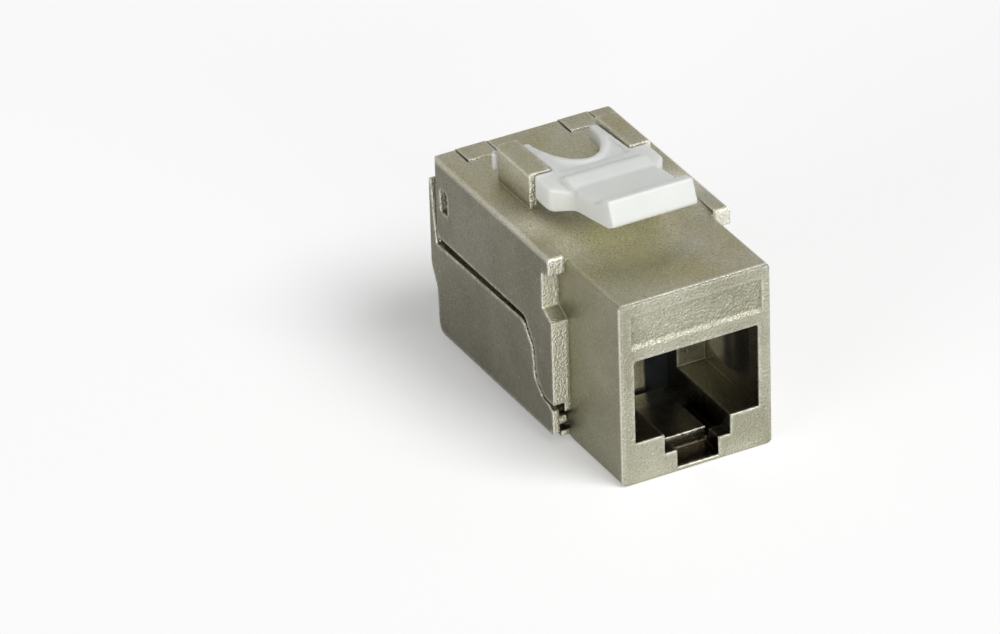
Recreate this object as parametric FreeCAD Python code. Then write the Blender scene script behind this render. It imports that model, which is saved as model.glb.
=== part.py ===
import FreeCAD, Part
import math
import os

os.makedirs("parts", exist_ok=True)

V = FreeCAD.Vector

# Drawn in millimetres with X across, Y from the front face to the rear and Z up

# Socket for the plug, as seen in the front face, and how far the plug goes in
SOCKET_WIDTH = 11.7
SOCKET_STEP_WIDTH = 6.25
SOCKET_TAB_WIDTH = 3.95
SOCKET_TOP = 11.3
SOCKET_FLOOR = 3.45
SOCKET_STEP_FLOOR = 1.65
SOCKET_TAB_FLOOR = -0.05
SOCKET_STOP = 9.0
SOCKET_CORNER = 0.3
TAB_POCKET_DEPTH = 2.15
TAB_POCKET_RISE = 0.5
GROOVE_FRONT = 1.75
GROOVE_FLOOR = 0.75
STRIP_REAR = 9.4
RIB_HALF = 0.6
RIB_DEPTH = 0.7
RIB_TOP = 4.8

# Nose, the front end that stands in the panel
NOSE_WALL = 1.2
NOSE_FLOOR = 0.35
NOSE_ROOF = 5.45
NOSE_CORNER = 0.45
FRONT_ROUND = 0.2
HEEL_RISE = 0.4
HEEL_LENGTH = 1.4
NOSE_HALF = SOCKET_WIDTH / 2 + NOSE_WALL
NOSE_BOTTOM = SOCKET_TAB_FLOOR - NOSE_FLOOR
NOSE_TOP = SOCKET_TOP + NOSE_ROOF
HEEL_FLOOR = NOSE_BOTTOM + HEEL_RISE

# Plain sunk panel above the socket
PANEL_MARGIN = 0.9
PANEL_SHIFT = 0.1
PANEL_HEIGHT = 3.1
PANEL_DROP = 1.25
PANEL_DEPTH = 0.3

# Wide body of the housing
SHOULDER = 1.55
BODY_RISE = 0.35
BODY_REAR = 29.7
BODY_WALL = 1.0
TOP_WALL = 1.15
BODY_EDGE = 0.4
REAR_EDGE = 0.3
REAR_CORNER = 0.9
TAPER = 0.65
TAPER_DROP = 0.8
BODY_HALF = NOSE_HALF + SHOULDER
BODY_TOP = NOSE_TOP + BODY_RISE
CEILING = BODY_TOP - TOP_WALL

# Stepped shoulder at the front of the body: lug, setback, wedge and column
LUG_FRONT = 9.3
LUG_HEIGHT = 1.7
SETBACK = 1.15
WEDGE_DROP = 5.1
WEDGE_HEIGHT = 0.8
COLUMN_STEP = 0.35
COLUMN_BOTTOM = 3.35
STEP_EDGE = 0.2
LUG_BOTTOM = BODY_TOP - LUG_HEIGHT
SETBACK_FRONT = LUG_FRONT + SETBACK
WEDGE_TOP = BODY_TOP - WEDGE_DROP
COLUMN_FRONT = LUG_FRONT - COLUMN_STEP
NOSE_REAR = LUG_FRONT + 1.3

# Ramp between the lugs from the nose's top to the body's
RAMP_ROUND = 1.5
RAMP_START = LUG_FRONT + 0.1
RAMP_END = LUG_FRONT + 2.9

# Strip and foot beside the nose, in front of the hinge
STRIP_WIDTH = 0.5
STRIP_HEIGHT = 0.8
FOOT_WIDTH = 0.7
FOOT_HEIGHT = 0.45
FOOT_INSET = 0.2

# Parting line at the side, up from the column's foot to the long level gap
PARTING_HEIGHT = 9.7
STEP_ROUND = 0.8
PARTING_STEPS = (
    (LUG_FRONT + 1.1, COLUMN_BOTTOM),
    (LUG_FRONT + 2.5, COLUMN_BOTTOM + 1.35),
    (LUG_FRONT + 2.8, PARTING_HEIGHT - 2.3),
    (LUG_FRONT + 4.35, PARTING_HEIGHT),
)

# Hinge between the housing and the cover
HINGE_Y = LUG_FRONT + 0.7
HINGE_Z = 1.35
TRUNNION_RADIUS = 0.55
HINGE_CLEARANCE = 0.05
BORE_FLOOR = 0.3
TRUNNION_PLAY = 0.1

# Rear cover
COVER_LIFT = 0.8
COVER_THICKNESS = 0.8
PLATE_THICKNESS = 0.6
COVER_CORNER = 0.6
FLOOR_FRONT = HINGE_Y + 1.75
EAR_REACH = 0.85
EAR_HEIGHT = 1.2
STEP_GAP = 0.38
STEP_DROP = 0.25
COVER_GAP = 0.6
GAP_GROWTH = 0.25
REAR_GAP = 0.2
COVER_DROP = 2.3
WALL_TIP = 0.25
WALL_BELLY = 2.0
WAIST = 1.4
WAIST_TOP = 7.3
WAIST_BOTTOM = 4.6
WAIST_ROUND = 0.8
HEEL_ROUND = 0.9
PLATE_INNER = BODY_HALF - PLATE_THICKNESS
COVER_BOTTOM = NOSE_BOTTOM + COVER_LIFT
COVER_FLOOR_TOP = COVER_BOTTOM + COVER_THICKNESS
COVER_TOP = BODY_TOP - COVER_DROP
TAPER_TOP = COVER_TOP - TAPER_DROP
COVER_INNER = BODY_REAR + REAR_GAP
COVER_OUTER = COVER_INNER + COVER_THICKNESS
WAIST_OUTER = COVER_OUTER - WAIST

# Inner side walls of the housing that run down inside the cover
SKIRT_WALL = 0.85
SKIRT_CLEARANCE = 0.4
SKIRT_LENGTH = 15.4
SKIRT_ROUND = 1.0
WEB_HEIGHT = 0.9
SKIRT_INNER = NOSE_HALF - SKIRT_WALL
SKIRT_BOTTOM = COVER_FLOOR_TOP + SKIRT_CLEARANCE
SKIRT_REAR = NOSE_REAR + SKIRT_LENGTH

# Pocket that lightens the nose above the socket
POCKET_FRONT = 1.5
POCKET_FLOOR = 0.95
POCKET_ROOF = 1.4

# Tabs on the cover that close the notches in the housing's rear top edge
TAB_INNER = 3.5
TAB_WIDTH = 2.8
TAB_LENGTH = 2.5
TAB_PROUD = 0.05
TAB_THICKNESS = 1.1
TAB_SLIT = 0.15
TAB_SEAM = 0.08
TAB_OUTER = TAB_INNER + TAB_WIDTH
TAB_FRONT = BODY_REAR - TAB_LENGTH
TAB_TOP = BODY_TOP + TAB_PROUD

# Snap windows in the housing and the cover's ears behind them
WINDOW_LENGTH = 1.35
WINDOW_HEIGHT = 2.2
WINDOW_INSET = 1.4
WINDOW_DROP = 2.45
WINDOW_ROUND = 0.4
SNAP_THICKNESS = 0.8
SNAP_CLEARANCE = 0.35
SNAP_MARGIN = 0.4
BOSS_CLEARANCE = 0.1
BOSS_MARGIN = 0.3
WINDOW_REAR = BODY_REAR - WINDOW_INSET
WINDOW_FRONT = WINDOW_REAR - WINDOW_LENGTH
WINDOW_TOP = BODY_TOP - WINDOW_DROP
WINDOW_BOTTOM = WINDOW_TOP - WINDOW_HEIGHT

# Cable exit, the lip over it and the tongue that the cable is tied to
CABLE_Z = 8.6
CABLE_RADIUS = 3.5
CABLE_SLOT_HALF = 3.0
LIP_HALF = 2.85
LIP_THICKNESS = 1.2
LIP_HEIGHT = 2.3
TONGUE_LENGTH = 3.5
TONGUE_ROOT = 0.4
TONGUE_THICKNESS = 0.9
TONGUE_HALF_ANGLE = 50
TIE_NECK_HALF = 1.9
TIE_NOTCH_LENGTH = 1.4
TIE_NOTCH_INSET = 0.8
TONGUE_REAR = COVER_OUTER + TONGUE_LENGTH

# Hoods on top that hold the latch's legs
HOOD_INNER = 3.75
HOOD_WIDTH = 2.0
HOOD_FRONT = 17.5
HOOD_LENGTH = 5.9
HOOD_HEIGHT = 3.2
HOOD_WALL = 0.75
HOOD_ROOF = 0.7
HOOD_EDGE = 0.3
HOOD_CORNER = 0.5
HOOD_OUTER = HOOD_INNER + HOOD_WIDTH
HOOD_REAR = HOOD_FRONT + HOOD_LENGTH
HOOD_TOP = BODY_TOP + HOOD_HEIGHT

# Latch: a lip, a stepped arm, a cross bar with a ridge, and two prongs, legs and barbs
LATCH_GAP = 0.2
BAR_INSET = 0.35
BAR_LENGTH = 2.4
BAR_ROUND = 1.2
ARM_HALF = 4.0
ARM_LENGTH = 11.0
ARM_THICKNESS = 1.5
ARM_TAPER = 1.7
LIP_RISE = 1.95
RIDGE_RISE = 0.65
RIDGE_LENGTH = 0.9
FOOT_CLEARANCE = 0.9
LEG_CLEARANCE = 1.0
LEG_INNER = 3.3
BARB_LENGTH = 0.6
BARB_DEPTH = 0.4
BARB_REACH = 0.05
WEB_HALF = 3.65
WEB_THICKNESS = 1.0
PRONG_LENGTH = 5.0
PRONG_DROP = 0.3
CUTOUT_START = 0.45
CUTOUT_HALF = 3.05
RIM_WIDTH = 0.6
POCKET_DEPTH = 0.35
POCKET_LENGTH = 2.9
LATCH_REAR = HOOD_FRONT - LATCH_GAP
LATCH_FOOT = BODY_TOP + FOOT_CLEARANCE
LATCH_FRONT = LATCH_REAR - ARM_LENGTH
BAR_HALF = HOOD_OUTER - BAR_INSET
PRONG_END = LATCH_REAR + PRONG_LENGTH
CUTOUT_FRONT = LATCH_REAR + CUTOUT_START

# Contact springs, stamped strips bent back on themselves
WIRE_COUNT = 8
WIRE_PITCH = 1.02
WIRE_WIDTH = 0.46
WIRE_THICKNESS = 0.32
WIRE_DROP = 0.65
WIRE_FRONT = 2.9
WIRE_BEND = 0.5
WIRE_TIP_INSET = 0.8
WIRE_FALL = 3.1
FIT = 0.02
WIRE_Z = SOCKET_TOP - WIRE_DROP
WIRE_TIP = NOSE_REAR - WIRE_TIP_INSET

# Carrier behind the socket with the comb that guides the contact springs
CARRIER_DEPTH = 4.4
CARRIER_BOTTOM = 1.9
SILL_DEPTH = 0.6
SILL_BOTTOM = 0.3
COMB_TOOTH = 0.35
COMB_DEPTH = 1.2
COMB_HEIGHT = 4.45
COMB_ROOF_FRONT = 1.7
COMB_HALF = 4.6
COMB_BOTTOM = SOCKET_TOP - COMB_HEIGHT

# Circuit board
BOARD_THICKNESS = 1.0
BOARD_MARGIN = 0.3
BOARD_BOTTOM = 2.6
BOARD_HEADROOM = 1.95
BOARD_FRONT = NOSE_REAR + CARRIER_DEPTH
BOARD_REAR = BOARD_FRONT + BOARD_THICKNESS
BOARD_HALF = SKIRT_INNER - BOARD_MARGIN
BOARD_TOP = CEILING - BOARD_HEADROOM

# Terminal block and its forked terminals
BLOCK_DEPTH = 5.5
BLOCK_MARGIN = 0.2
TERMINAL_PITCH = 2.7
TERMINAL_COLUMNS = 4
ROW_INSET = 1.8
TERMINAL_HALF = 0.95
TERMINAL_THICKNESS = 0.4
TERMINAL_REACH = 1.8
TERMINAL_SLOT_LENGTH = 3.0
TERMINAL_SLOT_HALF = 0.18
TERMINAL_MOUTH_HALF = 0.55
TERMINAL_MOUTH_DEPTH = 0.8
TERMINAL_TAIL_HALF = 0.28
BLOCK_REAR = BOARD_REAR + BLOCK_DEPTH
TERMINAL_TIP = BLOCK_REAR + TERMINAL_REACH
TERMINAL_ROWS = (BOARD_BOTTOM + ROW_INSET, BOARD_TOP - ROW_INSET)

# Wire cap
CAP_DEPTH = 4.9
CAP_MARGIN = 0.2
CAP_CLEARANCE = 0.1
CAP_ROUND = 0.6
CAP_BORE_START = 2.0
WIRE_GROOVE_HALF = 0.6
WIRE_GROOVE_DEPTH = 3.2
CAP_REAR = BLOCK_REAR + CAP_DEPTH

# Ground springs on the socket's side walls
SPRING_THICKNESS = 0.25
SPRING_FRONT = 1.6
SPRING_LENGTH = 6.8
SPRING_FLAT = 0.9
SPRING_BOW = 0.45
SPRING_BOTTOM = 5.2
SPRING_HEIGHT = 4.4

# Cutting tools reach this far past the surface that they open
PAST = 1.0


def rounded_wire(points, radii):
    """Closed flat outline with a tangent arc at each corner that has a radius."""
    ends = []
    arcs = []
    count = len(points)
    for i in range(count):
        corner = points[i]
        radius = radii[i]
        if radius == 0:
            ends.append((corner, corner))
            arcs.append(None)
            continue
        back = (points[i - 1] - corner).normalize()
        ahead = (points[(i + 1) % count] - corner).normalize()
        half = back.getAngle(ahead) / 2
        reach = radius / math.tan(half)
        inward = (back + ahead).normalize()
        middle = corner + inward * (radius / math.sin(half) - radius)
        start = corner + back * reach
        end = corner + ahead * reach
        ends.append((start, end))
        arcs.append(Part.Arc(start, middle, end).toShape())
    edges = []
    for i in range(count):
        if arcs[i]:
            edges.append(arcs[i])
        start = ends[i][1]
        end = ends[(i + 1) % count][0]
        if start.distanceToPoint(end) > 1e-6:
            edges.append(Part.makeLine(start, end))
    return Part.Wire(edges)


def prism(points, place, run):
    """Solid from an outline of (a, b) or (a, b, radius) points set in space by place."""
    corners = [place(p[0], p[1]) for p in points]
    radii = [p[2] if len(p) > 2 else 0 for p in points]
    return Part.Face(rounded_wire(corners, radii)).extrude(run)


def side_prism(points, x0, x1):
    return prism(points, lambda y, z: V(x0, y, z), V(x1 - x0, 0, 0))


def plan_prism(points, z0, z1):
    return prism(points, lambda x, y: V(x, y, z0), V(0, 0, z1 - z0))


def front_prism(points, y0, y1):
    return prism(points, lambda x, z: V(x, y0, z), V(0, y1 - y0, 0))


def box(x0, x1, y0, y1, z0, z1):
    return Part.makeBox(x1 - x0, y1 - y0, z1 - z0, V(x0, y0, z0))


def rod_x(x0, x1, y, z, radius):
    return Part.makeCylinder(radius, x1 - x0, V(x0, y, z), V(1, 0, 0))


def rod_y(y0, y1, x, z, radius):
    return Part.makeCylinder(radius, y1 - y0, V(x, y0, z), V(0, 1, 0))


def both_sides(shape):
    """The shape and its mirror image on the other side of the middle plane."""
    return [shape, shape.mirror(V(0, 0, 0), V(1, 0, 0))]


def join(shapes):
    return shapes[0].fuse(shapes[1:]).removeSplitter()


def cut_all(shape, tools):
    return shape.cut(tools).removeSplitter()


def strip(points, radius, thickness):
    """Outline of a strip of even thickness along a bent line of (y, z) points."""
    ways = [V(b[0] - a[0], b[1] - a[1], 0).normalize() for a, b in zip(points, points[1:])]
    outline = []
    for side in (1, -1):
        line = []
        for i, (y, z) in enumerate(points):
            before = ways[max(i - 1, 0)]
            after = ways[min(i, len(ways) - 1)]
            mitre = side * thickness / 2 / (1 + before.dot(after))
            away = V(-before.y - after.y, before.x + after.x, 0) * mitre
            turn = before.cross(after).z
            corner = 0
            if abs(turn) > 1e-6:
                corner = radius - math.copysign(thickness / 2, turn) * side
            line.append((y + away.x, z + away.y, corner))
        outline += line[::side]
    return outline


def nose_outer():
    """Block of the nose, rounded at its corners and front, with its heel cut up at the hinge."""
    block = front_prism([
        (-NOSE_HALF, NOSE_BOTTOM, NOSE_CORNER),
        (NOSE_HALF, NOSE_BOTTOM, NOSE_CORNER),
        (NOSE_HALF, NOSE_TOP, NOSE_CORNER),
        (-NOSE_HALF, NOSE_TOP, NOSE_CORNER),
    ], 0, NOSE_REAR)
    front_edges = [e for e in block.Edges if e.BoundBox.YMax < FRONT_ROUND / 2]
    block = block.makeFillet(FRONT_ROUND, front_edges)
    heel_end = COLUMN_FRONT + 0.25
    heel = side_prism([
        (heel_end - HEEL_LENGTH, NOSE_BOTTOM - PAST),
        (heel_end - HEEL_LENGTH, NOSE_BOTTOM),
        (heel_end, HEEL_FLOOR),
        (NOSE_REAR + PAST, HEEL_FLOOR),
        (NOSE_REAR + PAST, NOSE_BOTTOM - PAST),
    ], -NOSE_HALF - PAST, NOSE_HALF + PAST)
    return block.cut(heel)


def body_outer():
    """Wide body: its side view with the stepped shoulder, rounded in plan and from the front."""
    steps = [(y, z, STEP_ROUND) for y, z in reversed(PARTING_STEPS)]
    side = side_prism([
        (LUG_FRONT, BODY_TOP, REAR_EDGE),
        (BODY_REAR, BODY_TOP, REAR_EDGE),
        (BODY_REAR, TAPER_TOP, STEP_ROUND),
        (BODY_REAR - TAPER, PARTING_HEIGHT, STEP_ROUND / 2),
    ] + steps + [
        (COLUMN_FRONT, COLUMN_BOTTOM),
        (COLUMN_FRONT, WEDGE_TOP - WEDGE_HEIGHT, STEP_EDGE),
        (SETBACK_FRONT, WEDGE_TOP, STEP_EDGE),
        (SETBACK_FRONT, LUG_BOTTOM, STEP_EDGE / 2),
        (LUG_FRONT, LUG_BOTTOM, STEP_EDGE),
    ], -BODY_HALF, BODY_HALF)
    plan = plan_prism([
        (-BODY_HALF, COLUMN_FRONT - PAST),
        (-BODY_HALF, BODY_REAR, REAR_CORNER),
        (BODY_HALF, BODY_REAR, REAR_CORNER),
        (BODY_HALF, COLUMN_FRONT - PAST),
    ], 0, BODY_TOP + PAST)
    front = front_prism([
        (-BODY_HALF, 0),
        (BODY_HALF, 0),
        (BODY_HALF, BODY_TOP, BODY_EDGE),
        (-BODY_HALF, BODY_TOP, BODY_EDGE),
    ], 0, BODY_REAR + PAST)
    return side.common(plan).common(front)


def top_ramp():
    """Room over the nose between the two lugs, where the top slopes down to the nose."""
    return side_prism([
        (LUG_FRONT - PAST, NOSE_TOP),
        (RAMP_START, NOSE_TOP, RAMP_ROUND),
        (RAMP_END, BODY_TOP),
        (RAMP_END, BODY_TOP + PAST),
        (LUG_FRONT - PAST, BODY_TOP + PAST),
    ], -NOSE_HALF, NOSE_HALF)


def socket_outline():
    wide = SOCKET_WIDTH / 2
    step = SOCKET_STEP_WIDTH / 2
    return [
        (-wide, SOCKET_TOP, SOCKET_CORNER),
        (wide, SOCKET_TOP, SOCKET_CORNER),
        (wide, SOCKET_FLOOR),
        (step, SOCKET_FLOOR),
        (step, SOCKET_STEP_FLOOR),
        (-step, SOCKET_STEP_FLOOR),
        (-step, SOCKET_FLOOR),
        (-wide, SOCKET_FLOOR),
    ]


def tab_pocket():
    """Lowest part of the socket's mouth, for the plug's tab, with a floor that slopes up."""
    floor_rear = SOCKET_TAB_FLOOR + TAB_POCKET_RISE
    top = SOCKET_STEP_FLOOR + 0.1
    return side_prism([
        (-PAST, SOCKET_TAB_FLOOR),
        (0, SOCKET_TAB_FLOOR),
        (TAB_POCKET_DEPTH, floor_rear),
        (TAB_POCKET_DEPTH, top),
        (-PAST, top),
    ], -SOCKET_TAB_WIDTH / 2, SOCKET_TAB_WIDTH / 2)


def socket_room():
    """Room for the plug, with a groove on each side of the strip that its tab slides on."""
    wide = SOCKET_WIDTH / 2
    step = SOCKET_STEP_WIDTH / 2
    tab = SOCKET_TAB_WIDTH / 2
    inside = TAB_POCKET_DEPTH - 0.1
    mouth = front_prism(socket_outline(), -PAST, TAB_POCKET_DEPTH)
    room = box(-wide, wide, inside, SOCKET_STOP, SOCKET_FLOOR, SOCKET_TOP)
    over_strip = box(-step, step, inside, NOSE_REAR, SOCKET_STEP_FLOOR, SOCKET_TOP)
    groove = box(tab - 0.05, step, GROOVE_FRONT, NOSE_REAR, GROOVE_FLOOR, SOCKET_FLOOR)
    behind_strip = box(-step, step, STRIP_REAR, NOSE_REAR, GROOVE_FLOOR, SOCKET_FLOOR)
    comb_room = box(-COMB_HALF, COMB_HALF, SOCKET_STOP - 0.1, NOSE_REAR, COMB_BOTTOM, SOCKET_TOP)
    rooms = [mouth, tab_pocket(), room, over_strip, behind_strip, comb_room]
    return rooms + both_sides(groove)


def panel_recess():
    """Shallow plain panel with a sloping lower edge."""
    top = NOSE_TOP - PANEL_DROP
    bottom = top - PANEL_HEIGHT
    half = NOSE_HALF - PANEL_MARGIN
    return side_prism([
        (-PAST, top),
        (PANEL_DEPTH, top),
        (PANEL_DEPTH, bottom + PANEL_DEPTH),
        (0, bottom),
        (-PAST, bottom),
    ], PANEL_SHIFT - half, PANEL_SHIFT + half)


def housing_hollow():
    """Open inside of the wide body, and the pocket that lightens the nose above the socket."""
    wide = BODY_HALF - BODY_WALL
    rear = BODY_REAR + PAST
    board_room = NOSE_REAR + 1.6
    upper = box(-wide, wide, board_room, rear, PARTING_HEIGHT + WEB_HEIGHT, CEILING)
    rear_room = box(-wide, wide, SKIRT_REAR, rear, SKIRT_BOTTOM, CEILING)
    middle = box(-SKIRT_INNER, SKIRT_INNER, NOSE_REAR, rear, NOSE_BOTTOM - PAST, SOCKET_TOP)
    pocket = box(-SKIRT_INNER, SKIRT_INNER, POCKET_FRONT, rear,
                 SOCKET_TOP + POCKET_FLOOR, NOSE_TOP - POCKET_ROOF)
    above_board = box(-SKIRT_INNER, SKIRT_INNER, board_room, rear, SOCKET_TOP - 1, CEILING)
    return [upper, rear_room, middle, pocket, above_board]


def skirt():
    """Inner side wall of the housing, on the right side."""
    top = PARTING_HEIGHT + WEB_HEIGHT
    return side_prism([
        (COLUMN_FRONT, top),
        (SKIRT_REAR, top),
        (SKIRT_REAR, SKIRT_BOTTOM + 3.4, SKIRT_ROUND),
        (SKIRT_REAR - 2, SKIRT_BOTTOM, SKIRT_ROUND),
        (NOSE_REAR + 0.7, SKIRT_BOTTOM, STEP_EDGE),
        (NOSE_REAR, HEEL_FLOOR),
        (COLUMN_FRONT, HEEL_FLOOR),
    ], SKIRT_INNER, NOSE_HALF)


def hood():
    """Hood on the right of the top: a wall with a roof over the latch's leg."""
    plan = plan_prism([
        (HOOD_INNER, HOOD_FRONT),
        (HOOD_OUTER, HOOD_FRONT),
        (HOOD_OUTER, HOOD_REAR, HOOD_CORNER),
        (HOOD_INNER, HOOD_REAR),
    ], CEILING, HOOD_TOP)
    front = front_prism([
        (HOOD_INNER, CEILING),
        (HOOD_OUTER, CEILING),
        (HOOD_OUTER, HOOD_TOP, HOOD_EDGE),
        (HOOD_INNER, HOOD_TOP),
    ], HOOD_FRONT, HOOD_REAR)
    hollow = box(HOOD_INNER - PAST, HOOD_OUTER - HOOD_WALL, HOOD_FRONT - PAST, HOOD_REAR + PAST,
                 BODY_TOP, HOOD_TOP - HOOD_ROOF)
    return plan.common(front).cut(hollow)


def cable_lip():
    """Lip under the middle of the rear top edge, hollowed for the top of the cable."""
    front = BODY_REAR - LIP_THICKNESS
    lip = box(-LIP_HALF, LIP_HALF, front, BODY_REAR, CABLE_Z + LIP_HEIGHT, CEILING + TOP_WALL / 2)
    return lip.cut(rod_y(front - PAST, BODY_REAR + PAST, 0, CABLE_Z, CABLE_RADIUS))


def tab_notch():
    return box(TAB_INNER - TAB_SLIT, TAB_OUTER + TAB_SLIT, TAB_FRONT - TAB_SEAM,
               BODY_REAR + PAST, CEILING - TOP_WALL / 2, BODY_TOP + PAST)


def snap_window():
    return side_prism([
        (WINDOW_FRONT, WINDOW_BOTTOM, WINDOW_ROUND),
        (WINDOW_FRONT, WINDOW_TOP, WINDOW_ROUND),
        (WINDOW_REAR, WINDOW_TOP, WINDOW_ROUND),
        (WINDOW_REAR, WINDOW_BOTTOM, WINDOW_ROUND),
    ], BODY_HALF - BODY_WALL - 0.1, BODY_HALF + PAST)


def hinge_bore():
    return rod_x(SKIRT_INNER + BORE_FLOOR, NOSE_HALF + PAST, HINGE_Y, HINGE_Z,
                 TRUNNION_RADIUS + HINGE_CLEARANCE)


def column_foot():
    """Narrow strip under the column and the foot at its end, beside the nose on the right."""
    rear = NOSE_REAR - FOOT_INSET
    inner = NOSE_HALF - 0.1
    strip_bottom = COLUMN_BOTTOM - STRIP_HEIGHT
    narrow = box(inner, NOSE_HALF + STRIP_WIDTH, COLUMN_FRONT, rear, strip_bottom, COLUMN_BOTTOM + 0.1)
    foot_top = HEEL_FLOOR + FOOT_HEIGHT
    foot = box(inner, NOSE_HALF + FOOT_WIDTH, LUG_FRONT, rear, HEEL_FLOOR, foot_top)
    return [narrow, foot]


def housing():
    narrow, foot = column_foot()
    outer = join([nose_outer(), body_outer()] + both_sides(foot)
                 + both_sides(skirt()) + both_sides(narrow))
    under = box(-SKIRT_INNER, SKIRT_INNER, NOSE_REAR, BODY_REAR, NOSE_BOTTOM - PAST, SKIRT_BOTTOM)
    cuts = [under, top_ramp(), panel_recess()] + socket_room() + housing_hollow()
    cuts += both_sides(tab_notch()) + both_sides(snap_window()) + both_sides(hinge_bore())
    shell = outer.cut(cuts)
    rib = box(-RIB_HALF, RIB_HALF, NOSE_REAR - RIB_DEPTH, NOSE_REAR, HEEL_FLOOR, RIB_TOP)
    return join([shell, cable_lip(), rib] + both_sides(hood()))


def cover_rear():
    """Rear edge of the cover in side view, from its upper end down to its heel."""
    return [
        (COVER_INNER, COVER_TOP, WALL_TIP / 3),
        (COVER_INNER + WALL_TIP, COVER_TOP, WALL_TIP / 3),
        (COVER_OUTER, COVER_TOP - WALL_BELLY, STEP_ROUND),
        (COVER_OUTER, WAIST_TOP, WAIST_ROUND),
        (WAIST_OUTER, WAIST_BOTTOM, WAIST_ROUND),
        (WAIST_OUTER - 0.2, COVER_BOTTOM, HEEL_ROUND),
    ]


def cover_side():
    """Right side plate of the cover with its hinge ear, one gap away from the housing's edge."""
    front = HINGE_Y - EAR_REACH
    steps = [(y + STEP_GAP, z - STEP_DROP, STEP_ROUND) for y, z in PARTING_STEPS[:-1]]
    edge_top = PARTING_HEIGHT - COVER_GAP
    return side_prism([
        (front, COVER_BOTTOM, 0.3),
        (front, HINGE_Z + EAR_HEIGHT, 0.4),
        (HINGE_Y - 0.1, COLUMN_BOTTOM - STEP_DROP, 0.3),
    ] + steps + [
        (PARTING_STEPS[-1][0] + STEP_GAP, edge_top, STEP_ROUND),
        (COVER_INNER - TAPER, edge_top - GAP_GROWTH, REAR_GAP),
        (COVER_INNER, TAPER_TOP, STEP_ROUND),
    ] + cover_rear(), PLATE_INNER, BODY_HALF)


def cover_wall():
    """Rear wall and floor of the cover in one folded section."""
    waist_inner = WAIST_OUTER - COVER_THICKNESS
    return side_prism([
        (FLOOR_FRONT, COVER_BOTTOM, 0.2),
        (FLOOR_FRONT, COVER_FLOOR_TOP, 0.2),
        (waist_inner - 0.1, COVER_FLOOR_TOP, 0.5),
        (waist_inner, WAIST_BOTTOM + 0.3, WAIST_ROUND),
        (COVER_INNER, WAIST_TOP + 0.3, WAIST_ROUND),
    ] + cover_rear(), -PLATE_INNER, PLATE_INNER)


def cover_shell():
    """Sides, floor and rear wall of the cover, rounded at the upright rear corners."""
    shell = join([cover_wall()] + both_sides(cover_side()))
    plan = plan_prism([
        (-BODY_HALF, 0),
        (-BODY_HALF, COVER_OUTER, COVER_CORNER),
        (BODY_HALF, COVER_OUTER, COVER_CORNER),
        (BODY_HALF, 0),
    ], COVER_BOTTOM, BODY_TOP)
    return shell.common(plan)


def cover_tab():
    """Right-hand tab: up the rear wall and forward into the housing's notch."""
    under = TAB_TOP - TAB_THICKNESS
    return side_prism([
        (TAB_FRONT, TAB_TOP, TAB_SLIT),
        (BODY_REAR, TAB_TOP, REAR_EDGE),
        (COVER_INNER + WALL_TIP, COVER_TOP - 0.2),
        (COVER_INNER + WALL_TIP, COVER_TOP - TAB_THICKNESS),
        (COVER_INNER, COVER_TOP - TAB_THICKNESS),
        (BODY_REAR - REAR_GAP, under, REAR_EDGE),
        (TAB_FRONT, under, TAB_SLIT),
    ], TAB_INNER, TAB_OUTER)


def snap_ear():
    """Snap ear inside the housing, with its boss behind the window."""
    wall = BODY_HALF - BODY_WALL
    outer = wall - SNAP_CLEARANCE
    low = WINDOW_BOTTOM - SNAP_MARGIN
    high = WINDOW_TOP + SNAP_MARGIN
    ear = side_prism([
        (WINDOW_FRONT - SNAP_MARGIN, low, SNAP_MARGIN),
        (WINDOW_FRONT - SNAP_MARGIN, high, SNAP_MARGIN),
        (COVER_INNER + 0.1, high),
        (COVER_INNER + 0.1, low),
    ], outer - SNAP_THICKNESS, outer)
    boss = box(outer - 0.1, wall - BOSS_CLEARANCE, WINDOW_FRONT + BOSS_MARGIN,
               WINDOW_REAR - BOSS_MARGIN, WINDOW_BOTTOM + BOSS_MARGIN, WINDOW_TOP - BOSS_MARGIN)
    return ear.fuse(boss)


def tie_tongue():
    """Half-round tongue under the cable with a notch on each side for a tie."""
    front = WAIST_OUTER - TONGUE_ROOT
    ring = rod_y(front, TONGUE_REAR, 0, CABLE_Z, CABLE_RADIUS + TONGUE_THICKNESS)
    ring = ring.cut(rod_y(front - PAST, TONGUE_REAR + PAST, 0, CABLE_Z, CABLE_RADIUS))
    reach = 2 * CABLE_RADIUS
    spread = reach * math.tan(math.radians(TONGUE_HALF_ANGLE))
    sector = front_prism([
        (0, CABLE_Z),
        (-spread, CABLE_Z - reach),
        (spread, CABLE_Z - reach),
    ], front, TONGUE_REAR)
    notch_rear = TONGUE_REAR - TIE_NOTCH_INSET
    notch = box(TIE_NECK_HALF, reach, notch_rear - TIE_NOTCH_LENGTH, notch_rear, 0, CABLE_Z)
    return cut_all(ring.common(sector), both_sides(notch))


def cable_hole():
    """U-shaped entry in the cover's rear wall, open at the top."""
    front = COVER_INNER - 1.5
    rear = COVER_OUTER + PAST
    hole = rod_y(front, rear, 0, CABLE_Z, CABLE_RADIUS)
    slot = box(-CABLE_SLOT_HALF, CABLE_SLOT_HALF, front, rear, CABLE_Z, BODY_TOP)
    return hole.fuse(slot)


def rear_cover():
    start = SKIRT_INNER + BORE_FLOOR + TRUNNION_PLAY
    trunnion = rod_x(start, PLATE_INNER + 0.3, HINGE_Y, HINGE_Z, TRUNNION_RADIUS)
    body = join([cover_shell(), tie_tongue()] + both_sides(cover_tab())
                + both_sides(snap_ear()) + both_sides(trunnion))
    return cut_all(body, [cable_hole()])


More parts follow.
